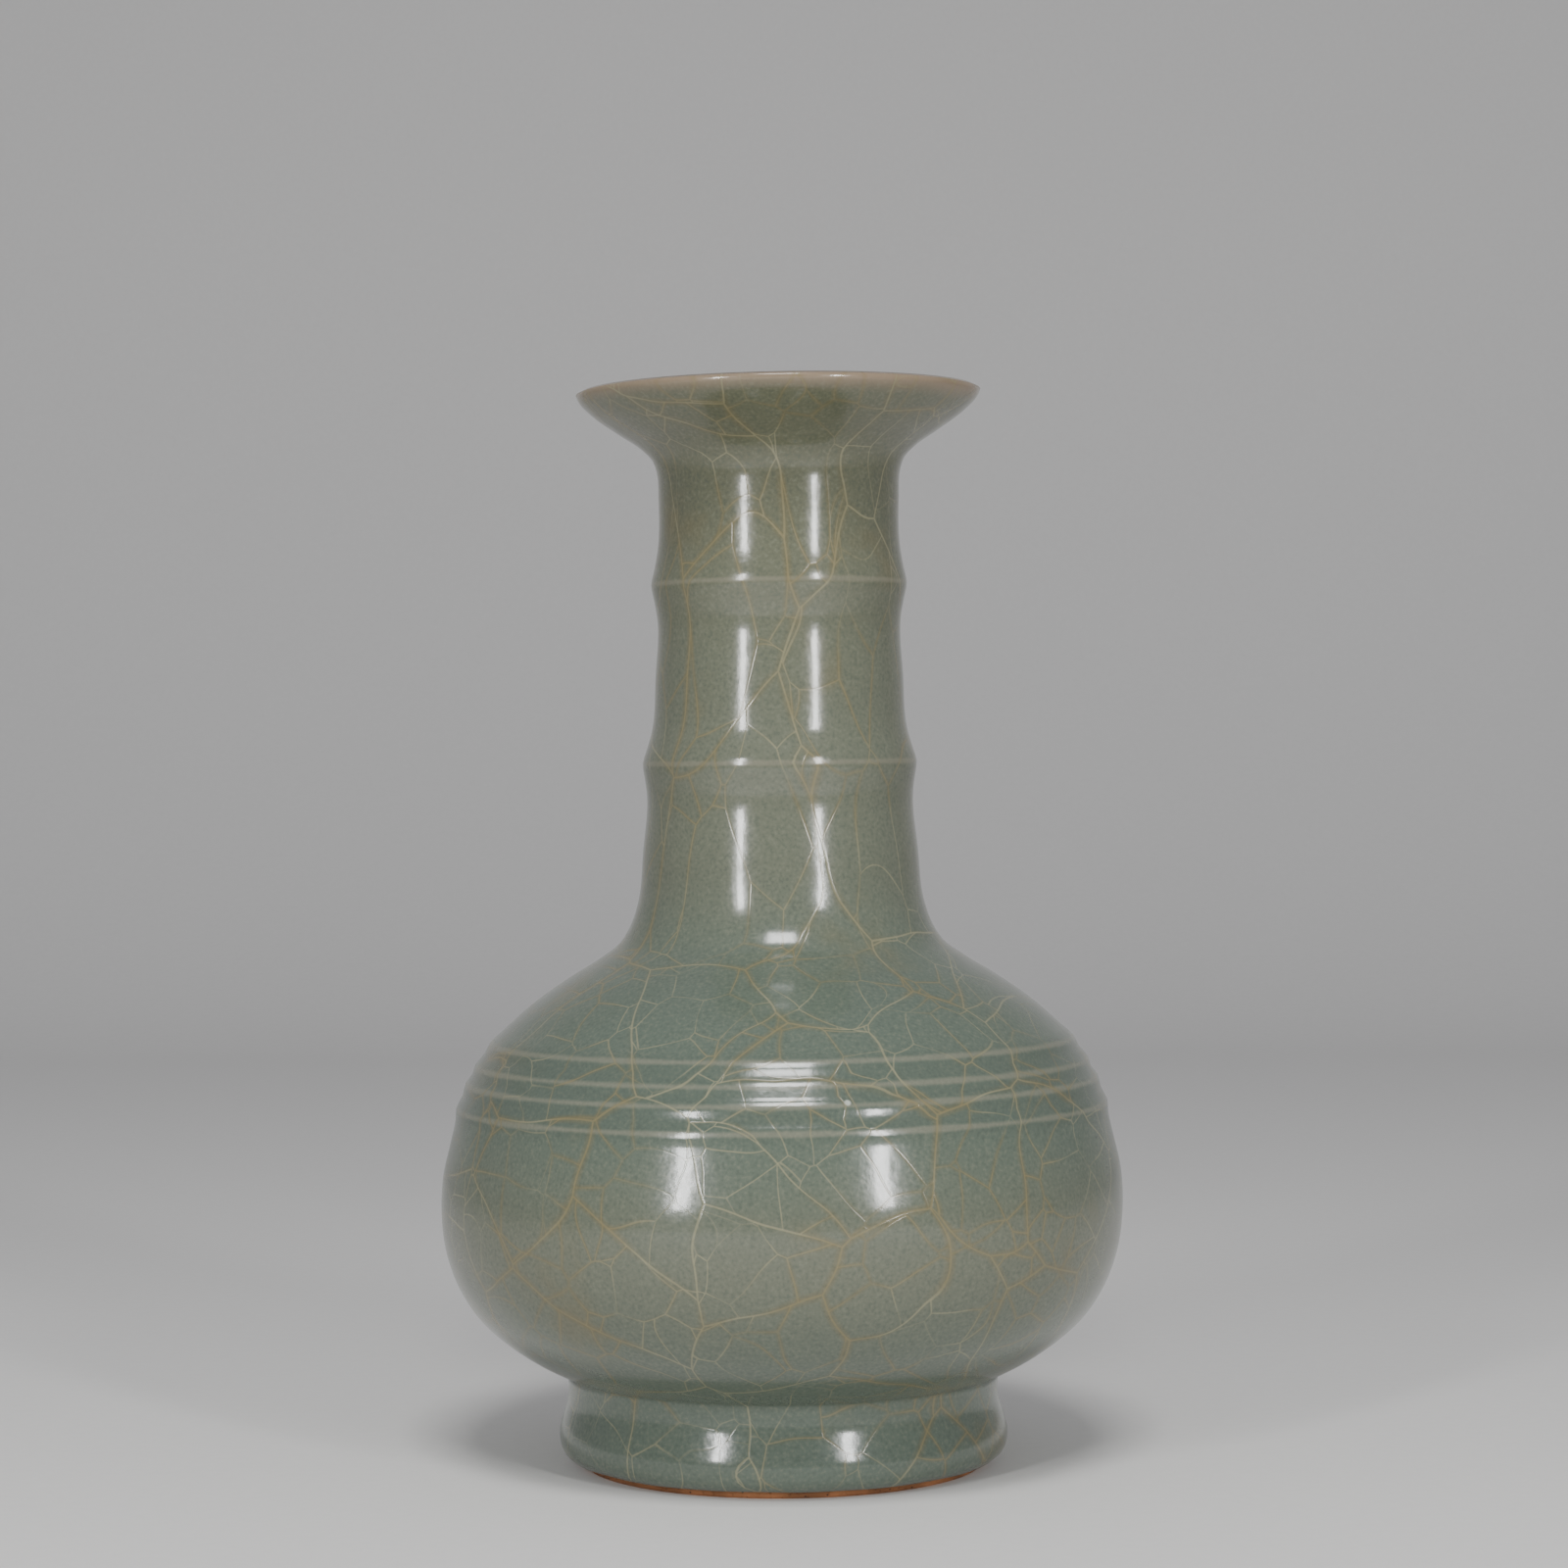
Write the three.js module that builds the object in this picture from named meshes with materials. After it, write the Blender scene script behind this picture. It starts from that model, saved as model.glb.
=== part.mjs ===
// Dish-mouth vase with two raised rings on the neck and four bow-string ridges on the shoulder.
// Thrown stoneware sections luted one on another, under a celadon glaze. Millimetres, +Z up.
import * as THREE from 'three';

// Driving dimensions
const HEIGHT = 240;
const SIDES = 32;
const OUTER_GLAZE = 0.7;
const INNER_GLAZE = 0.6;
const SEAT_GAP = 0.05;

// Heights where one thrown section sits on the next
const FOOT_JOINT = 11.6;
const BELLY_JOINT = 57;
const NECK_JOINT = 120;
const MOUTH_JOINT = 222;

// Foot ring
const FOOT_INNER_RADIUS = 38.6;
const FOOT_REST_INNER_RADIUS = 39.4;
const FOOT_REST_OUTER_RADIUS = 44.5;
const BARE_EDGE_RADIUS = 45.3;
const BARE_EDGE_HEIGHT = 1.7;
const FLOOR_HEIGHT = 19;

// Lip
const LIP_CROWN_RADIUS = 43.9;
const LIP_CLAY_HEIGHT = 237.4;
const LIP_GLAZE_MEETING = 237.9;

// Raised rings and ridges: height of the crest, how far it stands out, half its width
const NECK_RINGS = [
  { at: 156.7, proud: 1.15, reach: 6 },
  { at: 196.6, proud: 1.35, reach: 7 },
];
const SHOULDER_RIDGES = [80.5, 86, 89.9, 94.7].map((at) => ({ at, proud: 0.5, reach: 1.9 }));

// Outside of the foot ring, from the edge of the glaze up to the crease under the belly
const FOOT_OUTLINE = [
  [45.4, 1.8], [47.9, 1.95], [49.2, 3.1], [50.1, 5.5], [50.1, 8],
  [49.3, 11], [48.3, 14.5], [48.1, 17.6], [48.3, 20.2],
];

// Outside of the belly, shoulder, neck and mouth, without rings and ridges
const BODY_CURVE = [
  [48.3, 20.2], [57.2, 24.9], [66.4, 32], [71.2, 38.3], [74.2, 45], [75.75, 51.7],
  [76.2, 58.5], [75.75, 65.5], [74.2, 72.3], [72.6, 79.5], [70.1, 86.2], [64.7, 94.9],
  [57.7, 101.7], [48.1, 108.6], [40.8, 113.1], [36.1, 116.7], [34, 120], [32.3, 124.6],
  [31.3, 132], [30.2, 145], [29.5, 157], [28.2, 168], [27.5, 180], [27.25, 197],
  [27.2, 208], [27, 218], [27.6, 223], [29, 225.6], [34, 229.4], [39, 232.8],
  [43.2, 236.2], [45.1, 238.6], [45.3, 239.3],
];

// Inside of the vase, from the middle of the floor up to the lip
const HOLLOW_CURVE = [
  [0, FLOOR_HEIGHT], [28, 19.6], [45, 22.6], [57, 30], [66.5, 40], [70.6, 50], [71.4, 58.5],
  [70.4, 68], [66.6, 80], [59.5, 92], [50, 101], [40, 108], [32.4, 113.6], [28.8, 120],
  [27, 132], [25.6, 146], [24, 168], [23, 190], [22.6, 214], [23.2, 221], [25.2, 226.2],
  [32, 232], [37.4, 235.4], [40.9, 237.8], [42.6, 239.3],
];

// Heights at which the outside is drawn; the crests and hollows of the relief are among them
const BODY_LEVELS = [
  20.2, 24.9, 29, 34, 40.5, 48, BELLY_JOINT, 66, 73, 78.3,
  80.5, 83.2, 86, 87.9, 89.9, 92.3, 94.7, 97,
  103, 109, 113.2, 116.7, NECK_JOINT, 125, 137, 150.7,
  153.7, 156.7, 159.7, 163, 176, 189.6,
  193.1, 196.6, 200.1, 204, 216, MOUTH_JOINT,
  224.6, 227, 231, 235.2, 238.2, 239.3,
];
const HOLLOW_LEVELS = [
  19.6, 22.6, 30, 40, 50, BELLY_JOINT, 68, 80, 92, 101, 108, 113.6, NECK_JOINT,
  132, 168, 214, MOUTH_JOINT, 226.2, 232, 235.4, 237.8, 239.3,
];

const CLAY_COLOUR = 0x9a6a48;
const GLAZE_COLOUR = 0x8f9a80;

function point([radius, height]) {
  return new THREE.Vector2(radius, height);
}

// A curve whose height only grows, read as radius for a height
function radiusReader(points) {
  const curve = new THREE.CatmullRomCurve3(
    points.map(([radius, height]) => new THREE.Vector3(radius, height, 0)),
    false,
    'centripetal',
  );
  return (height) => {
    let low = 0;
    let high = 1;
    for (let step = 0; step < 40; step += 1) {
      const middle = (low + high) / 2;
      if (curve.getPoint(middle).y < height) low = middle;
      else high = middle;
    }
    return curve.getPoint((low + high) / 2).x;
  };
}

// How far the raised rings and ridges stand out at a height
function relief(height) {
  let proud = 0;
  for (const ring of [...NECK_RINGS, ...SHOULDER_RIDGES]) {
    const away = Math.abs(height - ring.at) / ring.reach;
    if (away < 1) proud += ring.proud * Math.cos((away * Math.PI) / 2) ** 2;
  }
  return proud;
}

function outsidePath() {
  const bodyRadius = radiusReader(BODY_CURVE);
  const body = BODY_LEVELS.slice(1).map((height) => [bodyRadius(height) + relief(height), height]);
  return [...FOOT_OUTLINE, ...body].map(point);
}

function hollowPath() {
  const hollowRadius = radiusReader(HOLLOW_CURVE);
  const wall = HOLLOW_LEVELS.map((height) => [hollowRadius(height), height]);
  return [[0, FLOOR_HEIGHT], ...wall].map(point);
}

// The path moved sideways; a positive distance moves it to the left of its direction
function offset(path, distance) {
  return path.map((here, index) => {
    const before = path[Math.max(index - 1, 0)];
    const after = path[Math.min(index + 1, path.length - 1)];
    const along = after.clone().sub(before).normalize();
    return new THREE.Vector2(here.x - along.y * distance, here.y + along.x * distance);
  });
}

function pointAt(start, end, height) {
  const share = (height - start.y) / (end.y - start.y);
  return start.clone().lerp(end, share);
}

// The stretch of a rising path between two heights, cut square at both
function between(path, low, high) {
  const kept = [];
  path.forEach((here, index) => {
    const before = path[index - 1];
    if (before && before.y < low && here.y > low) kept.push(pointAt(before, here, low));
    if (before && before.y < high && here.y > high) kept.push(pointAt(before, here, high));
    if (here.y >= low && here.y <= high) kept.push(here);
  });
  return kept;
}

function turned(name, profile, material) {
  const geometry = new THREE.LatheGeometry(profile, SIDES);
  geometry.rotateX(Math.PI / 2);
  const mesh = new THREE.Mesh(geometry, material);
  mesh.name = name;
  return mesh;
}

// Up the outside and down the inside, closed on its first point
function ringProfile(outside, inside) {
  return [...outside, ...[...inside].reverse(), outside[0].clone()];
}

function clay() {
  return new THREE.MeshStandardMaterial({ color: CLAY_COLOUR, roughness: 0.9, metalness: 0 });
}

function glaze() {
  return new THREE.MeshStandardMaterial({ color: GLAZE_COLOUR, roughness: 0.2, metalness: 0 });
}

const outside = outsidePath();
const hollow = hollowPath();
const clayOutside = offset(outside, OUTER_GLAZE + SEAT_GAP);
const clayInside = offset(hollow, -(INNER_GLAZE + SEAT_GAP));

// Foot ring: flat rest, bare edge, and the flared foot under the glaze
function footRing() {
  const rest = [[FOOT_REST_OUTER_RADIUS, 0], [BARE_EDGE_RADIUS, BARE_EDGE_HEIGHT]].map(point);
  const flare = between(clayOutside, 0, FOOT_JOINT - SEAT_GAP);
  const underGlaze = new THREE.Vector2(BARE_EDGE_RADIUS, flare[0].y);
  const inner = [
    [FOOT_REST_INNER_RADIUS, 0], [FOOT_INNER_RADIUS, 1], [FOOT_INNER_RADIUS, FOOT_JOINT - SEAT_GAP],
  ].map(point);
  return turned('foot_ring', ringProfile([...rest, underGlaze, ...flare], inner), clay());
}

// Lower bowl: a flat floor and the underside of the belly
function lowerBody() {
  const floor = new THREE.Vector2(0, FOOT_JOINT);
  const wall = between(clayOutside, FOOT_JOINT, BELLY_JOINT - SEAT_GAP);
  const inner = between(clayInside.slice(1), 0, BELLY_JOINT - SEAT_GAP);
  const middle = new THREE.Vector2(0, FLOOR_HEIGHT - INNER_GLAZE - SEAT_GAP);
  return turned('lower_body', [floor, ...wall, ...inner.reverse(), middle], clay());
}

function section(name, low, high) {
  const outer = between(clayOutside, low, high);
  const inner = between(clayInside, low, high);
  return turned(name, ringProfile(outer, inner), clay());
}

// Coat over the outside, from the bare edge of the foot to the crown of the lip
function outerGlaze() {
  const crown = new THREE.Vector2(LIP_CROWN_RADIUS + SEAT_GAP, HEIGHT);
  const meeting = new THREE.Vector2(LIP_CROWN_RADIUS - 1.4 + SEAT_GAP, LIP_GLAZE_MEETING);
  const under = between(offset(outside, OUTER_GLAZE), 0, LIP_CLAY_HEIGHT + SEAT_GAP);
  return turned('outer_glaze', ringProfile([...outside, crown, meeting], under), glaze());
}

// Coat over the dish, the bore of the neck and the hollow of the belly
function innerGlaze() {
  const crown = new THREE.Vector2(LIP_CROWN_RADIUS - SEAT_GAP, HEIGHT);
  const meeting = new THREE.Vector2(LIP_CROWN_RADIUS - 1.4 - SEAT_GAP, LIP_GLAZE_MEETING);
  const behind = between(offset(hollow, -INNER_GLAZE).slice(1), 0, LIP_CLAY_HEIGHT + SEAT_GAP);
  const middle = new THREE.Vector2(0, FLOOR_HEIGHT - INNER_GLAZE);
  const profile = [middle, ...behind, meeting, crown, ...[...hollow].reverse()];
  return turned('inner_glaze', profile, glaze());
}

// Coat inside the foot ring, rolled a little way down its inner face
function baseGlaze() {
  const top = FOOT_JOINT - SEAT_GAP;
  const edge = FOOT_INNER_RADIUS - SEAT_GAP;
  const profile = [
    [0, top - INNER_GLAZE], [35.5, top - INNER_GLAZE], [37.5, 10.2], [38.1, 8.3],
    [edge, 8.3], [edge, top], [0, top],
  ].map(point);
  return turned('base_glaze', profile, glaze());
}

const vase = new THREE.Group();
vase.add(footRing());
vase.add(lowerBody());
vase.add(section('upper_body', BELLY_JOINT, NECK_JOINT - SEAT_GAP));
vase.add(section('neck', NECK_JOINT, MOUTH_JOINT - SEAT_GAP));
vase.add(section('dish_mouth', MOUTH_JOINT, LIP_CLAY_HEIGHT));
vase.add(outerGlaze());
vase.add(innerGlaze());
vase.add(baseGlaze());

export default vase;
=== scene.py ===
"""Dish-mouth vase: fine celadon coats, bare foot clay and kiln grit over the fixed frame."""
import math

import bpy
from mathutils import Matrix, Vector, noise


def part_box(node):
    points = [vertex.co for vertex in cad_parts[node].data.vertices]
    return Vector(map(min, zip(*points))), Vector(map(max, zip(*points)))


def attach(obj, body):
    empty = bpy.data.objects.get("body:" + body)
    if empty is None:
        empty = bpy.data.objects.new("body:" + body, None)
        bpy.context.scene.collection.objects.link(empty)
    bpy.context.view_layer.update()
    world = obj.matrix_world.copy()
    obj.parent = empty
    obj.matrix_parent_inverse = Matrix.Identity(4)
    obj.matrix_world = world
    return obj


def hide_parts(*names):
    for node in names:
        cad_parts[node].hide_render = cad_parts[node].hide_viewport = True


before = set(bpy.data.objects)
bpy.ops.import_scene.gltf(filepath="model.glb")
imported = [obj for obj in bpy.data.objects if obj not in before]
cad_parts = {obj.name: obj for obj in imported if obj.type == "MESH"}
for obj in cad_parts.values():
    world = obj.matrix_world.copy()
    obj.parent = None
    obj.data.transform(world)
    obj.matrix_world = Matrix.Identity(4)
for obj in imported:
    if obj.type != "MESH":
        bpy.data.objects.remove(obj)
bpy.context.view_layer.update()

bl_info = {
    "name": "Dish-mouth vase",
    "version": (1, 0, 0),
    "blender": (4, 5, 0),
    "location": "3D View > Sidebar > Vase",
    "description": "Builds the glaze coats, the foot clay and the studio of a dish-mouth vase",
    "category": "Add Mesh",
}

MM = 0.001

# Sizes taken from the frame
VASE_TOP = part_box("outer_glaze")[1][2]
NECK_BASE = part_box("neck")[0][2]

# Crackle: cell sizes, how far it is drawn out up the neck, and the step its widths are tested with
LARGE_CELL = 32.0 * MM
SMALL_CELL = 12.0 * MM
NECK_STRETCH = 0.42
PROBE = 0.02 * MM

# Distances from a crack at which its line and the stain beside it begin to fade and end
STAINED_LINE = (0.08 * MM, 0.32 * MM)
FINE_LINE = (0.07 * MM, 0.24 * MM)
STAINED_HALO = (0.2 * MM, 1.5 * MM)
FINE_HALO = (0.1 * MM, 0.9 * MM)

# Heights at which the glaze changes colour: pooled on the shoulder and the foot, olive at the mouth
SHOULDER_POOL = 0.095
SHOULDER_FADE = (0.012, 0.04)
FOOT_FADE = (0.022, 0.052)
MOUTH_FADE = (0.15, 0.232)

# How much the ridges and the rim rise towards one side, as a share of the distance across
BAND_LEAN = 0.0075
RIM_LEAN = 0.013

# Heights between which each lean sets in
BAND_LEAN_SPAN = (0.02, 0.07)
RIM_LEAN_SPAN = (0.2, 0.24)

# Painted shade in the hollows between the ridges: its middle and where it fades away from there
HOLLOW_SHADE_MIDDLE = 0.0875
HOLLOW_SHADE_FADE = (0.007, 0.0095)

# A pale speck between the ridges
PALE_SPOT = (13.6 * MM, -69.0 * MM, 86.6 * MM)
SPOT_FADE = (0.4 * MM, 0.9 * MM)
SPOT_COLOUR = (0.5, 0.52, 0.46, 1.0)

# Sine of the turn from which a hollow corner of the profile stays a crease
CREASE_TURN = 0.64

# Heights of the raised lines, as shares of the height
RIDGE_SHARES = (0.3354, 0.3583, 0.3746, 0.3946)
RING_SHARES = (0.6529, 0.8192)
CREST_FADE = (0.1 * MM, 0.9 * MM)

# How far below the top the brown of the lip begins and is full
LIP_BEGINS = 4.5 * MM
LIP_FULL = 0.4 * MM

# How high above the rest the glaze edge still waves, and from where the wall's wobble is full
EDGE_REACH = 4.5 * MM
WOBBLE_FULL = 0.02

# Where the kiln grit lies: how high, and how far out past the edge of the flat rest
GRIT_HEIGHT = 0.9 * MM
GRIT_OUT = 0.3 * MM

# Numbers of a mix node's colour sockets
MIX_FIRST, MIX_SECOND, MIX_RESULT = 6, 7, 2

# Where the camera stands: from the axis, above the rest, and how far it looks down and rolls
CAMERA_DISTANCE = 0.857
CAMERA_HEIGHT = 0.1606
CAMERA_SIDE = 0.0009
CAMERA_PITCH = math.radians(0.59)
CAMERA_ROLL = math.radians(0.32)
CAMERA_LENS = 87.75


class VaseSizes(bpy.types.PropertyGroup):
    """Sizes of the fine surface."""

    segments: bpy.props.IntProperty(
        name="Segments", description="Steps round the axis", default=160, min=24
    )
    step: bpy.props.FloatProperty(
        name="Step", description="Length of a step up the profile",
        default=1.4 * MM, unit="LENGTH",
    )
    outer_skin: bpy.props.FloatProperty(
        name="Outer skin", description="Thickness of the outer coat",
        default=0.5 * MM, unit="LENGTH",
    )
    inner_skin: bpy.props.FloatProperty(
        name="Inner skin", description="Thickness of the inner coat",
        default=0.3 * MM, unit="LENGTH",
    )
    wobble: bpy.props.FloatProperty(
        name="Wobble", description="How far the hand-thrown wall strays from round",
        default=0.25 * MM, unit="LENGTH",
    )
    edge_wave: bpy.props.FloatProperty(
        name="Edge wave", description="How far the glaze edge at the foot rises and falls",
        default=0.6 * MM, unit="LENGTH",
    )
    grit_count: bpy.props.IntProperty(
        name="Grit count", description="Grains of kiln grit on the bare foot edge", default=90
    )
    grit_size: bpy.props.FloatProperty(
        name="Grit size", description="Radius of a grain", default=0.16 * MM, unit="LENGTH"
    )


class VaseColours(bpy.types.PropertyGroup):
    """Colours of the glaze and the clay."""

    glaze: bpy.props.FloatVectorProperty(
        name="Glaze", description="Grey-green of the belly", subtype="COLOR", size=4,
        default=(0.128, 0.137, 0.098, 1.0), min=0.0, max=1.0,
    )
    glaze_green: bpy.props.FloatVectorProperty(
        name="Pooled glaze", description="Bluer green where the glaze lies thick",
        subtype="COLOR", size=4, default=(0.094, 0.124, 0.098, 1.0), min=0.0, max=1.0,
    )
    glaze_olive: bpy.props.FloatVectorProperty(
        name="Mouth glaze", description="Olive grey of the mouth and upper neck",
        subtype="COLOR", size=4, default=(0.11, 0.112, 0.07, 1.0), min=0.0, max=1.0,
    )
    thin: bpy.props.FloatVectorProperty(
        name="Thin glaze", description="Pinkish brown on the lip and the crests",
        subtype="COLOR", size=4, default=(0.26, 0.19, 0.13, 1.0), min=0.0, max=1.0,
    )
    # Crest colour: thin glaze on the ridges and rings, paled further as a painted sheen
    crest_glaze_and_sheen: bpy.props.FloatVectorProperty(
        name="Crest glaze", description="Pale glaze on the ridges and rings", subtype="COLOR",
        size=4, default=(0.24, 0.225, 0.165, 1.0), min=0.0, max=1.0,
    )
    crack_pale: bpy.props.FloatVectorProperty(
        name="Pale crack", description="Cream of the fine cracks", subtype="COLOR", size=4,
        default=(0.27, 0.255, 0.155, 1.0), min=0.0, max=1.0,
    )
    crack_stain: bpy.props.FloatVectorProperty(
        name="Stained crack", description="Ochre of the stained cracks", subtype="COLOR",
        size=4, default=(0.17, 0.128, 0.048, 1.0), min=0.0, max=1.0,
    )
    clay: bpy.props.FloatVectorProperty(
        name="Foot clay", description="Fired orange-brown of the bare clay", subtype="COLOR",
        size=4, default=(0.3, 0.13, 0.055, 1.0), min=0.0, max=1.0,
    )


class Value:
    """A number socket that takes part in Python arithmetic."""

    def __init__(self, finish, socket):
        self.finish = finish
        self.socket = socket

    def _maths(self, operation, first, second):
        return self.finish.add("ShaderNodeMath", {"operation": operation}, {0: first, 1: second})

    def __add__(self, other):
        return self._maths("ADD", self, other)

    def __radd__(self, other):
        return self._maths("ADD", other, self)

    def __sub__(self, other):
        return self._maths("SUBTRACT", self, other)

    def __rsub__(self, other):
        return self._maths("SUBTRACT", other, self)

    def __mul__(self, other):
        return self._maths("MULTIPLY", self, other)

    def __truediv__(self, other):
        return self._maths("DIVIDE", self, other)

    def at_least(self, other):
        return self._maths("MAXIMUM", self, other)

    def at_most(self, other):
        return self._maths("MINIMUM", self, other)

    def size(self):
        return self._maths("ABSOLUTE", self, 0.0)

    def root(self):
        return self._maths("SQRT", self, 0.0)


class Finish:
    """A node material under construction."""

    def __init__(self, name):
        self.material = bpy.data.materials.new(name)
        self.material.use_nodes = True
        self.tree = self.material.node_tree
        self.shader = self.tree.nodes["Principled BSDF"]

    def add(self, kind, settings=None, inputs=None, output=0):
        """Adds a node: its settings first, then the values or links of its sockets."""
        node = self.tree.nodes.new(kind)
        for name, setting in (settings or {}).items():
            setattr(node, name, setting)
        for name, value in (inputs or {}).items():
            self.feed(node.inputs[name], value)
        return Value(self, node.outputs[output])

    def feed(self, socket, value):
        if isinstance(value, Value):
            self.tree.links.new(value.socket, socket)
        else:
            socket.default_value = value

    def place(self):
        return self.add("ShaderNodeTexCoord", output="Object")

    def split(self, vector):
        node = self.tree.nodes.new("ShaderNodeSeparateXYZ")
        self.feed(node.inputs[0], vector)
        return [Value(self, socket) for socket in node.outputs]

    def ramp(self, value, low, high, at_low=0.0, at_high=1.0):
        """A smooth step from one height of a value to another."""
        inputs = {"Value": value, "From Min": low, "From Max": high,
                  "To Min": at_low, "To Max": at_high}
        return self.add("ShaderNodeMapRange", {"interpolation_type": "SMOOTHSTEP"}, inputs)

    def speckle(self, vector, scale, detail=2.0, output="Fac"):
        inputs = {"Vector": vector, "Scale": scale, "Detail": detail}
        return self.add("ShaderNodeTexNoise", None, inputs, output)

    def moved(self, vector, by, amount):
        """The vector shifted by a colour centred on grey, times an amount."""
        centred = self.add("ShaderNodeVectorMath", {"operation": "SUBTRACT"},
                           {0: by, 1: (0.5, 0.5, 0.5)})
        scaled = self.add("ShaderNodeVectorMath", {"operation": "SCALE"},
                          {0: centred, "Scale": amount})
        return self.add("ShaderNodeVectorMath", {"operation": "ADD"}, {0: vector, 1: scaled})

    def mix(self, share, first, second):
        node = self.tree.nodes.new("ShaderNodeMix")
        node.data_type = "RGBA"
        self.feed(node.inputs["Factor"], share)
        self.feed(node.inputs[MIX_FIRST], first)
        self.feed(node.inputs[MIX_SECOND], second)
        return Value(self, node.outputs[MIX_RESULT])

    def bump(self, height, strength, distance):
        inputs = {"Height": height, "Strength": strength, "Distance": distance}
        self.feed(self.shader.inputs["Normal"], self.add("ShaderNodeBump", None, inputs))


def surface_steps(finish, flow_stretch):
    """Two short steps along the wall, round it and up it, in the crackle's stretched space."""
    normal = finish.add("ShaderNodeTexCoord", output="Normal")
    round_wall = finish.add("ShaderNodeVectorMath", {"operation": "CROSS_PRODUCT"},
                            {0: normal, 1: (0.0, 0.0, 1.0)})
    round_wall = finish.add("ShaderNodeVectorMath", {"operation": "NORMALIZE"}, {0: round_wall})
    up_wall = finish.add("ShaderNodeVectorMath", {"operation": "CROSS_PRODUCT"},
                         {0: normal, 1: round_wall})
    steps = []
    for direction in (round_wall, up_wall):
        across, deep, rise = finish.split(direction)
        step = finish.add("ShaderNodeCombineXYZ", None, {
            0: across * PROBE, 1: deep * PROBE, 2: rise * flow_stretch * PROBE})
        steps.append(step)
    return steps


def crack_distance(finish, vector, cell, steps):
    """Distance along the wall to the nearest border between cells of a given size."""

    def border(place):
        return finish.add("ShaderNodeTexVoronoi", {"feature": "DISTANCE_TO_EDGE"},
                          {"Vector": place, "Scale": 1.0 / cell}, "Distance") * cell

    here = border(vector)
    steepness = None
    for step in steps:
        beside = finish.add("ShaderNodeVectorMath", {"operation": "ADD"}, {0: vector, 1: step})
        slope = (border(beside) - here) / PROBE
        steepness = slope * slope if steepness is None else steepness + slope * slope
    return here / steepness.root().at_least(0.22)


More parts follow.
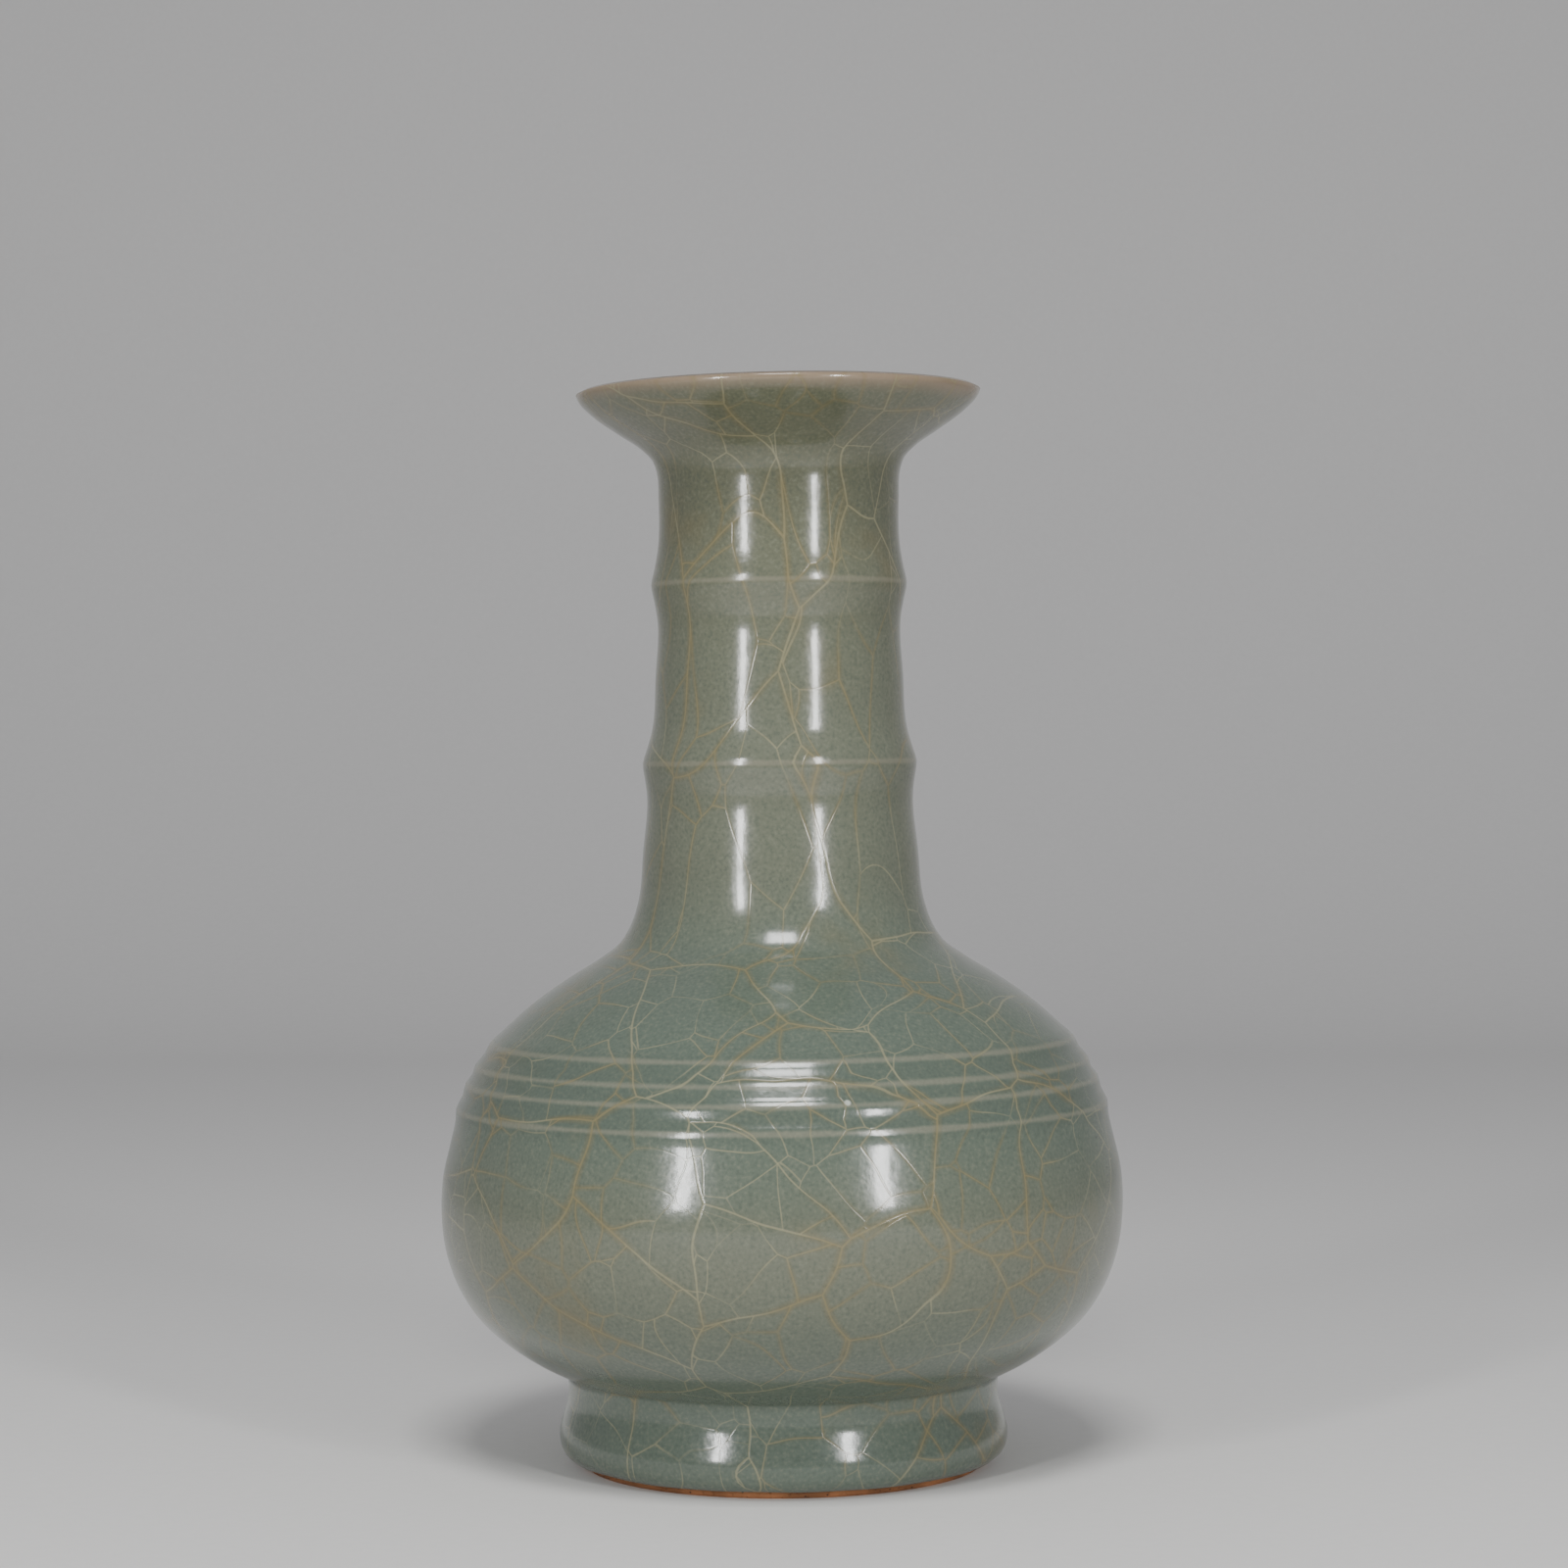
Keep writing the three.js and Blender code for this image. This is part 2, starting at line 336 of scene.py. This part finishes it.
def celadon_glaze(colours):
    """Satin grey-green glaze with a stained two-level crackle."""
    finish = Finish("crackled_celadon")
    place = finish.place()
    across, deep, height = finish.split(place)
    above_neck = (height - NECK_BASE).at_least(0.0)
    flow_height = height.at_most(NECK_BASE) + above_neck * NECK_STRETCH
    flow = finish.add("ShaderNodeCombineXYZ", None, {0: across, 1: deep, 2: flow_height})
    bent = finish.moved(flow, finish.speckle(flow, 42.0, 1.0, "Color"), 7.0 * MM)
    stretch = finish.ramp(height, NECK_BASE - 0.1 * MM, NECK_BASE + 0.1 * MM, 1.0, NECK_STRETCH)
    steps = surface_steps(finish, stretch)
    block = finish.add("ShaderNodeTexVoronoi", {"feature": "F1"},
                       {"Vector": bent, "Scale": 1.0 / LARGE_CELL}, "Color")
    parted = finish.moved(bent, block, 0.3)
    from_large = crack_distance(finish, bent, LARGE_CELL, steps)
    from_small = crack_distance(finish, parted, SMALL_CELL, steps)
    stained = finish.ramp(from_large, *STAINED_LINE, 1.0, 0.0)
    halo = finish.ramp(from_large, *STAINED_HALO, 1.0, 0.0)
    fine = finish.ramp(from_small, *FINE_LINE, 1.0, 0.0)
    fine_halo = finish.ramp(from_small, *FINE_HALO, 1.0, 0.0)
    mottle = finish.speckle(place, 1300.0, 3.0)
    cloud = finish.speckle(place, 55.0, 3.0)
    fading = finish.ramp(finish.speckle(place, 70.0, 2.0), 0.38, 0.56, 0.35, 1.0)
    ageing = finish.ramp(finish.speckle(place, 33.0, 2.0), 0.42, 0.6)
    stain_patch = finish.ramp(finish.speckle(place, 28.0, 4.0), 0.6, 0.78)

    shoulder = finish.ramp((height - SHOULDER_POOL).size(), *SHOULDER_FADE, 1.0, 0.0)
    foot = finish.ramp(height, *FOOT_FADE, 1.0, 0.0)
    green_share = (shoulder.at_least(foot) * 0.75 + cloud * 0.35 - 0.08).at_most(1.0)
    upper = finish.ramp(height, *MOUTH_FADE)
    base = finish.mix(green_share, tuple(colours.glaze), tuple(colours.glaze_green))
    base = finish.mix(upper * 0.8, base, tuple(colours.glaze_olive))
    pale = tuple(min(1.0, part * 1.35) for part in colours.glaze[:3]) + (1.0,)
    # Dark green, used both for the darker mottle and for the painted shade between the ridges
    dark = tuple(part * 0.62 for part in colours.glaze_green[:3]) + (1.0,)
    base = finish.mix(finish.ramp(mottle, 0.5, 0.72) * 0.45, base, pale)
    base = finish.mix(finish.ramp(mottle, 0.5, 0.3) * 0.4, base, dark)
    base = finish.mix(stain_patch * 0.4, base, tuple(colours.crack_stain))
    level = height - across * BAND_LEAN
    crest_glaze_and_sheen = relief_lines(finish, level, cloud)
    # Painted shade: a darker band in the hollows between the ridges, kept off their crests
    painted_hollow_shade = finish.ramp((level - HOLLOW_SHADE_MIDDLE).size(), *HOLLOW_SHADE_FADE, 1.0, 0.0)
    base = finish.mix(painted_hollow_shade * (1.0 - crest_glaze_and_sheen) * 0.3, base, dark)
    # Thin glaze on the crests, partly a painted sheen that lifts the low ridges
    base = finish.mix(crest_glaze_and_sheen * 0.42, base, tuple(colours.crest_glaze_and_sheen))
    spot = finish.add("ShaderNodeVectorMath", {"operation": "DISTANCE"},
                      {0: place, 1: PALE_SPOT}, "Value")
    base = finish.mix(finish.ramp(spot, *SPOT_FADE, 0.8, 0.0), base, SPOT_COLOUR)
    lip = finish.ramp(height + (cloud - 0.5) * MM, VASE_TOP - LIP_BEGINS, VASE_TOP - LIP_FULL)
    base = finish.mix(lip * 0.85, base, tuple(colours.thin))
    base = finish.mix(halo * (0.05 + ageing * 0.25), base, tuple(colours.crack_stain))
    base = finish.mix(fine_halo * ageing * 0.25, base, tuple(colours.crack_stain))
    line_colour = finish.mix(ageing * 0.6, tuple(colours.crack_pale), tuple(colours.crack_stain))
    base = finish.mix(fine * fading * 0.55, base, line_colour)
    base = finish.mix(stained * 0.62, base, line_colour)
    finish.feed(finish.shader.inputs["Base Color"], base)
    finish.feed(finish.shader.inputs["Roughness"], 0.12 + mottle * 0.1)
    finish.shader.inputs["Coat Weight"].default_value = 0.2
    finish.shader.inputs["Coat Roughness"].default_value = 0.06
    finish.shader.inputs["IOR"].default_value = 1.5
    peel = finish.speckle(place, 420.0, 2.0)
    finish.bump(peel - fine * 0.4 - stained * 0.4, 0.14, 0.25 * MM)
    return finish.material


def relief_lines(finish, height, cloud):
    """Thin glaze along the crests of the ridges and rings, where a painted sheen is laid as well."""
    total = None
    for share in RIDGE_SHARES + RING_SHARES:
        away = (height - share * VASE_TOP).size() + (cloud - 0.5) * MM
        line = finish.ramp(away, *CREST_FADE, 1.0, 0.0)
        total = line if total is None else total.at_least(line)
    return total


def foot_clay(colours):
    """Dull fired clay with dark iron specks."""
    finish = Finish("fired_foot_clay")
    place = finish.place()
    grain = finish.speckle(place, 900.0, 4.0)
    patch = finish.speckle(place, 120.0, 3.0)
    inputs = {"Vector": place, "Scale": 700.0}
    specks = finish.add("ShaderNodeTexVoronoi", {"feature": "F1"}, inputs, "Distance")
    dark = tuple(part * 0.3 for part in colours.clay[:3]) + (1.0,)
    pale = tuple(min(1.0, part * 1.7) for part in colours.clay[:3]) + (1.0,)
    base = finish.mix(finish.ramp(patch, 0.35, 0.7), tuple(colours.clay), pale)
    base = finish.mix(finish.ramp(grain, 0.55, 0.8) * 0.6, base, dark)
    base = finish.mix(finish.ramp(specks, 0.12, 0.2, 1.0, 0.0), base, (0.02, 0.015, 0.012, 1.0))
    finish.feed(finish.shader.inputs["Base Color"], base)
    finish.feed(finish.shader.inputs["Roughness"], 0.75 + grain * 0.2)
    finish.bump(grain + patch * 0.5, 0.5, 0.3 * MM)
    return finish.material


def grit_finish():
    """Near-black kiln grit."""
    finish = Finish("kiln_grit")
    grain = finish.speckle(finish.place(), 2000.0)
    base = finish.mix(grain, (0.012, 0.009, 0.008, 1.0), (0.06, 0.04, 0.03, 1.0))
    finish.feed(finish.shader.inputs["Base Color"], base)
    finish.feed(finish.shader.inputs["Roughness"], 0.5 + grain * 0.4)
    return finish.material


def studio_finish():
    """Pale matt paper with a faint grain."""
    finish = Finish("pale_floor")
    grain = finish.speckle(finish.place(), 300.0)
    base = finish.mix(grain, (0.72, 0.71, 0.69, 1.0), (0.76, 0.75, 0.73, 1.0))
    finish.feed(finish.shader.inputs["Base Color"], base)
    finish.shader.inputs["Roughness"].default_value = 0.85
    return finish.material


def section_side(node, sign):
    """The rising side of a turned node that faces away from the axis (1) or towards it (-1)."""
    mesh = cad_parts[node].data
    found = {}
    for polygon in mesh.polygons:
        out = Vector((polygon.center.x, polygon.center.y, 0.0))
        if out.length < 1e-6 or polygon.normal.dot(out.normalized()) * sign < 0.01:
            continue
        for index in polygon.vertices:
            corner = mesh.vertices[index].co
            if abs(corner.y) < 1e-6 and corner.x > -1e-6:
                found[(round(corner.x, 6), round(corner.z, 6))] = True
    return sorted(found, key=lambda point: point[1])


def smooth_path(points, step):
    """A smooth curve through the points, cut into steps of about one length."""
    ends = [points[0]] + list(points) + [points[-1]]
    path = []
    for before, start, end, after in zip(ends, ends[1:], ends[2:], ends[3:]):
        count = max(1, round(math.dist(start, end) / step))
        for index in range(count):
            path.append(_between(before, start, end, after, index / count))
    path.append(points[-1])
    return path


def _between(before, start, end, after, share):
    """A point of a curve whose slopes come from the neighbours, tamed for uneven spans."""
    span = math.dist(start, end)
    slope_in = _slope(before, start, end, 1)
    slope_out = _slope(start, end, after, -1)
    square, cube = share * share, share * share * share
    weights = (2 * cube - 3 * square + 1, cube - 2 * square + share,
               3 * square - 2 * cube, cube - square)
    return tuple(
        weights[0] * start[axis] + weights[1] * span * slope_in[axis]
        + weights[2] * end[axis] + weights[3] * span * slope_out[axis]
        for axis in (0, 1)
    )


def _slope(before, here, after, side):
    """Direction at a point, weighted to its nearer neighbour; a crease keeps both its directions."""
    back = math.dist(before, here)
    ahead = math.dist(here, after)
    if back < 1e-9 or ahead < 1e-9:
        length = max(back + ahead, 1e-9)
        return tuple((after[axis] - before[axis]) / length for axis in (0, 1))
    arriving = Vector((here[0] - before[0], here[1] - before[1])) / back
    leaving = Vector((after[0] - here[0], after[1] - here[1])) / ahead
    if arriving.x * leaving.y - arriving.y * leaving.x < -CREASE_TURN:
        return tuple(leaving if side > 0 else arriving)
    return tuple(
        ((here[axis] - before[axis]) / back * ahead + (after[axis] - here[axis]) / ahead * back)
        / (back + ahead)
        for axis in (0, 1)
    )


def offset_path(path, distance):
    """The path moved to the left of its direction."""
    moved = []
    for index, (radius, height) in enumerate(path):
        before = path[max(index - 1, 0)]
        after = path[min(index + 1, len(path) - 1)]
        along = Vector((after[0] - before[0], after[1] - before[1])).normalized()
        moved.append((max(radius - along.y * distance, 0.0), height + along.x * distance))
    return moved


def turned_piece(name, profile, segments, shift, material):
    """A closed turned body; profile points on the axis become single poles."""
    rows = []
    vertices = []
    for radius, height in profile:
        if radius < 1e-7:
            rows.append([len(vertices)] * segments)
            vertices.append((0.0, 0.0, height))
            continue
        rows.append([len(vertices) + turn for turn in range(segments)])
        for turn in range(segments):
            angle = 2.0 * math.pi * turn / segments
            vertices.append(shift(radius, angle, height))
    faces = []
    closed = profile[0][0] > 1e-7
    pairs = list(zip(rows, rows[1:])) + ([(rows[-1], rows[0])] if closed else [])
    for low, high in pairs:
        for turn in range(segments):
            after = (turn + 1) % segments
            corners = [low[turn], low[after], high[after], high[turn]]
            face = list(dict.fromkeys(corners))
            if len(face) > 2:
                faces.append(face)
    mesh = bpy.data.meshes.new(name)
    mesh.from_pydata(vertices, [], faces)
    mesh.shade_smooth()
    mesh.materials.append(material)
    mesh.validate()
    piece = bpy.data.objects.new(name, mesh)
    bpy.context.collection.objects.link(piece)
    return piece


def lean(height):
    """Slope of the wall's level at a height: none at the foot, most at the rim."""

    def share(span):
        start, end = span
        return min(1.0, max(0.0, (height - start) / (end - start)))

    return BAND_LEAN * share(BAND_LEAN_SPAN) + (RIM_LEAN - BAND_LEAN) * share(RIM_LEAN_SPAN)


def thrown(sizes):
    """Where a point of the wall really lies: slightly out of round and off level."""

    def shift(radius, angle, height):
        across, deep = math.cos(angle), math.sin(angle)
        sample = Vector((across * 1.3, deep * 1.3, height * 14.0))
        rise = min(1.0, height / WOBBLE_FULL)
        far = radius + sizes.wobble * noise.noise(sample) * rise
        edge = max(0.0, 1.0 - height / EDGE_REACH)
        wave = noise.noise(Vector((across * 3.0, deep * 3.0, 7.0)))
        level = height + sizes.edge_wave * wave * edge * min(1.0, height / MM)
        level += far * across * lean(height)
        return (far * across, far * deep, level)

    return shift


def still(radius, angle, height):
    return (radius * math.cos(angle), radius * math.sin(angle), height)


def glaze_material():
    found = bpy.data.materials.get("crackled_celadon")
    return found or celadon_glaze(bpy.context.scene.vase_colours)


def clay_material():
    found = bpy.data.materials.get("fired_foot_clay")
    return found or foot_clay(bpy.context.scene.vase_colours)


def seat(piece, node):
    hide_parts(node)
    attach(piece, "root")


class VASE_OT_outer_glaze(bpy.types.Operator):
    """Turns the coat over the outside"""

    bl_idname = "vase.outer_glaze"
    bl_label = "Outer glaze"

    def execute(self, context):
        sizes = context.scene.vase_sizes
        path = smooth_path(section_side("outer_glaze", 1), sizes.step)
        under = offset_path(path, sizes.outer_skin)
        profile = path + under[::-1]
        piece = turned_piece("outer_glaze_coat", profile, sizes.segments, thrown(sizes),
                             glaze_material())
        seat(piece, "outer_glaze")
        return {"FINISHED"}


class VASE_OT_inner_glaze(bpy.types.Operator):
    """Turns the coat over the dish, the bore and the hollow"""

    bl_idname = "vase.inner_glaze"
    bl_label = "Inner glaze"

    def execute(self, context):
        sizes = context.scene.vase_sizes
        path = smooth_path(section_side("inner_glaze", -1), sizes.step * 1.5)
        path[0] = (0.0, path[0][1])
        behind = offset_path(path, -sizes.inner_skin)
        behind[0] = (0.0, behind[0][1])
        profile = behind + path[::-1]
        piece = turned_piece("inner_glaze_coat", profile, sizes.segments, thrown(sizes),
                             glaze_material())
        seat(piece, "inner_glaze")
        return {"FINISHED"}


class VASE_OT_base_glaze(bpy.types.Operator):
    """Turns the coat inside the foot ring"""

    bl_idname = "vase.base_glaze"
    bl_label = "Base glaze"

    def execute(self, context):
        sizes = context.scene.vase_sizes
        low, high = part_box("base_glaze")
        edge = high[0]
        roof = high[2]
        skin = 0.6 * MM
        fillet = 3.0 * MM
        lower = [(0.0, roof - skin), (edge * 0.5, roof - skin)]
        for turn in range(9):
            angle = math.radians(90.0 * turn / 8)
            lower.append((edge - fillet + fillet * math.sin(angle) * 0.9,
                          roof - skin - fillet + fillet * math.cos(angle)))
        profile = lower + [(edge, low[2]), (edge, roof), (0.0, roof)]
        piece = turned_piece("base_glaze_coat", profile, sizes.segments, still, glaze_material())
        seat(piece, "base_glaze")
        return {"FINISHED"}


class VASE_OT_foot_ring(bpy.types.Operator):
    """Turns the foot ring with its bare, softly worn lower edge"""

    bl_idname = "vase.foot_ring"
    bl_label = "Foot ring"

    def execute(self, context):
        sizes = context.scene.vase_sizes
        outside = section_side("foot_ring", 1)
        inside = section_side("foot_ring", -1)
        path = smooth_path(outside, sizes.step * 0.6)
        back = smooth_path(inside, sizes.step)
        piece = turned_piece("foot_ring_clay", path + back[::-1], sizes.segments, still,
                             clay_material())
        seat(piece, "foot_ring")
        return {"FINISHED"}


class VASE_OT_hidden_clay(bpy.types.Operator):
    """Gives the thrown sections under the glaze their clay"""

    bl_idname = "vase.hidden_clay"
    bl_label = "Thrown sections"

    def execute(self, context):
        for name in ("lower_body", "upper_body", "neck", "dish_mouth"):
            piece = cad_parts[name]
            piece.data.materials.clear()
            piece.data.materials.append(clay_material())
        return {"FINISHED"}


def grit_tree(material):
    """Grains scattered round the bare edge of the foot."""
    tree = bpy.data.node_groups.new("grit_ring", "GeometryNodeTree")
    face = tree.interface
    for name, kind in (("Count", "NodeSocketInt"), ("Ring Radius", "NodeSocketFloat"),
                       ("Ring Height", "NodeSocketFloat"), ("Grain Radius", "NodeSocketFloat")):
        face.new_socket(name, in_out="INPUT", socket_type=kind)
    face.new_socket("Geometry", in_out="OUTPUT", socket_type="NodeSocketGeometry")
    nodes, links = tree.nodes, tree.links
    start = nodes.new("NodeGroupInput")
    end = nodes.new("NodeGroupOutput")
    ring = nodes.new("GeometryNodeMeshCircle")
    links.new(start.outputs["Count"], ring.inputs["Vertices"])
    links.new(start.outputs["Ring Radius"], ring.inputs["Radius"])
    scatter = nodes.new("FunctionNodeRandomValue")
    scatter.data_type = "FLOAT_VECTOR"
    scatter.inputs["Min"].default_value = (-0.35 * MM, -0.35 * MM, -0.6 * MM)
    scatter.inputs["Max"].default_value = (0.1 * MM, 0.1 * MM, 0.6 * MM)
    scatter.inputs["Seed"].default_value = 3
    lift = nodes.new("ShaderNodeCombineXYZ")
    links.new(start.outputs["Ring Height"], lift.inputs["Z"])
    total = nodes.new("ShaderNodeVectorMath")
    links.new(scatter.outputs["Value"], total.inputs[0])
    links.new(lift.outputs[0], total.inputs[1])
    spread = nodes.new("GeometryNodeSetPosition")
    links.new(ring.outputs["Mesh"], spread.inputs["Geometry"])
    links.new(total.outputs[0], spread.inputs["Offset"])
    grain = nodes.new("GeometryNodeMeshIcoSphere")
    grain.inputs["Subdivisions"].default_value = 1
    links.new(start.outputs["Grain Radius"], grain.inputs["Radius"])
    size = nodes.new("FunctionNodeRandomValue")
    size.data_type = "FLOAT_VECTOR"
    size.inputs["Min"].default_value = (0.35, 0.35, 0.3)
    size.inputs["Max"].default_value = (1.3, 1.0, 1.0)
    size.inputs["Seed"].default_value = 8
    place = nodes.new("GeometryNodeInstanceOnPoints")
    links.new(spread.outputs["Geometry"], place.inputs["Points"])
    links.new(grain.outputs["Mesh"], place.inputs["Instance"])
    links.new(size.outputs["Value"], place.inputs["Scale"])
    solid = nodes.new("GeometryNodeRealizeInstances")
    links.new(place.outputs["Instances"], solid.inputs["Geometry"])
    finish = nodes.new("GeometryNodeSetMaterial")
    finish.inputs["Material"].default_value = material
    links.new(solid.outputs["Geometry"], finish.inputs["Geometry"])
    links.new(finish.outputs["Geometry"], end.inputs["Geometry"])
    return tree


def baked(name, tree, values):
    """The plain mesh that a tree makes with these values."""
    carrier = bpy.data.objects.new(name + "_source", bpy.data.meshes.new(name + "_source"))
    bpy.context.collection.objects.link(carrier)
    modifier = carrier.modifiers.new("tree", "NODES")
    modifier.node_group = tree
    for item in tree.interface.items_tree:
        if item.in_out == "INPUT" and item.name in values:
            modifier[item.identifier] = values[item.name]
    bpy.context.view_layer.update()
    result = carrier.evaluated_get(bpy.context.evaluated_depsgraph_get())
    mesh = bpy.data.meshes.new_from_object(result)
    mesh.name = name
    bpy.data.objects.remove(carrier)
    piece = bpy.data.objects.new(name, mesh)
    bpy.context.collection.objects.link(piece)
    return piece


class VASE_OT_kiln_grit(bpy.types.Operator):
    """Scatters the grains that stuck to the foot in the kiln"""

    bl_idname = "vase.kiln_grit"
    bl_label = "Kiln grit"

    def execute(self, context):
        sizes = context.scene.vase_sizes
        bare = section_side("foot_ring", 1)
        values = {"Count": sizes.grit_count, "Ring Radius": bare[0][0] + GRIT_OUT,
                  "Ring Height": GRIT_HEIGHT, "Grain Radius": sizes.grit_size}
        piece = baked("kiln_grit", grit_tree(grit_finish()), values)
        if not piece.data.vertices:
            raise RuntimeError("The grit tree made no grains")
        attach(piece, "root")
        return {"FINISHED"}


def soft_light(name, place, aim, width, height, power):
    light = bpy.data.lights.new(name, "AREA")
    light.shape = "RECTANGLE"
    light.size = width
    light.size_y = height
    light.energy = power
    lamp = bpy.data.objects.new(name, light)
    lamp.location = place
    lamp.rotation_euler = (Vector(aim) - Vector(place)).to_track_quat("-Z", "Y").to_euler()
    bpy.context.collection.objects.link(lamp)


class VASE_OT_studio(bpy.types.Operator):
    """Sets the pale floor, the soft lights and the camera"""

    bl_idname = "vase.studio"
    bl_label = "Studio"

    def execute(self, context):
        reach, back, bend, top = 3.0, 1.6, 0.5, 2.4
        rows = [(-reach, 0.0), (back - bend, 0.0)]
        for turn in range(1, 12):
            angle = math.radians(90.0 * turn / 12)
            rows.append((back - bend + bend * math.sin(angle), bend - bend * math.cos(angle)))
        rows += [(back, bend), (back, top)]
        vertices = [(side * reach, deep, high) for deep, high in rows for side in (-1, 1)]
        faces = [(2 * row, 2 * row + 1, 2 * row + 3, 2 * row + 2) for row in range(len(rows) - 1)]
        mesh = bpy.data.meshes.new("studio_floor")
        mesh.from_pydata(vertices, [], faces)
        mesh.shade_smooth()
        mesh.materials.append(studio_finish())
        floor = bpy.data.objects.new("studio_floor", mesh)
        context.collection.objects.link(floor)
        middle = (0.0, 0.0, 0.12)
        soft_light("key_left", (-0.62, -0.95, 0.42), middle, 0.1, 0.42, 6.0)
        soft_light("key_right", (0.62, -0.95, 0.42), middle, 0.1, 0.42, 6.0)
        soft_light("overhead", (0.0, -0.7, 1.15), middle, 0.36, 0.3, 9.0)
        world = bpy.data.worlds.new("soft_room")
        world.use_nodes = True
        world.node_tree.nodes["Background"].inputs["Color"].default_value = (0.9, 0.92, 1.0, 1.0)
        world.node_tree.nodes["Background"].inputs["Strength"].default_value = 0.3
        context.scene.world = world
        lens = bpy.data.cameras.new("camera")
        lens.lens = CAMERA_LENS
        lens.sensor_width = 36.0
        camera = bpy.data.objects.new("camera", lens)
        camera.location = (CAMERA_SIDE, -CAMERA_DISTANCE, CAMERA_HEIGHT)
        camera.rotation_euler = (math.radians(90.0) - CAMERA_PITCH, CAMERA_ROLL, 0.0)
        context.collection.objects.link(camera)
        context.scene.camera = camera
        return {"FINISHED"}


class VASE_PT_panel(bpy.types.Panel):
    """Lists the steps that build the vase"""

    bl_label = "Dish-mouth vase"
    bl_idname = "VASE_PT_panel"
    bl_space_type = "VIEW_3D"
    bl_region_type = "UI"
    bl_category = "Vase"

    def draw(self, context):
        for name in VaseSizes.__annotations__:
            self.layout.prop(context.scene.vase_sizes, name)
        for name in VaseColours.__annotations__:
            self.layout.prop(context.scene.vase_colours, name)
        for operator in OPERATORS:
            self.layout.operator(operator.bl_idname)


OPERATORS = (
    VASE_OT_studio, VASE_OT_outer_glaze, VASE_OT_inner_glaze, VASE_OT_base_glaze,
    VASE_OT_foot_ring, VASE_OT_hidden_clay, VASE_OT_kiln_grit,
)
CLASSES = (VaseSizes, VaseColours) + OPERATORS + (VASE_PT_panel,)


def register():
    for each in CLASSES:
        bpy.utils.register_class(each)
    bpy.types.Scene.vase_sizes = bpy.props.PointerProperty(type=VaseSizes)
    bpy.types.Scene.vase_colours = bpy.props.PointerProperty(type=VaseColours)


def unregister():
    del bpy.types.Scene.vase_colours
    del bpy.types.Scene.vase_sizes
    for each in reversed(CLASSES):
        bpy.utils.unregister_class(each)


def main():
    register()
    for operator in OPERATORS:
        name = operator.bl_idname.split(".")[1]
        getattr(bpy.ops.vase, name)()


if __name__ == "__main__":
    main()
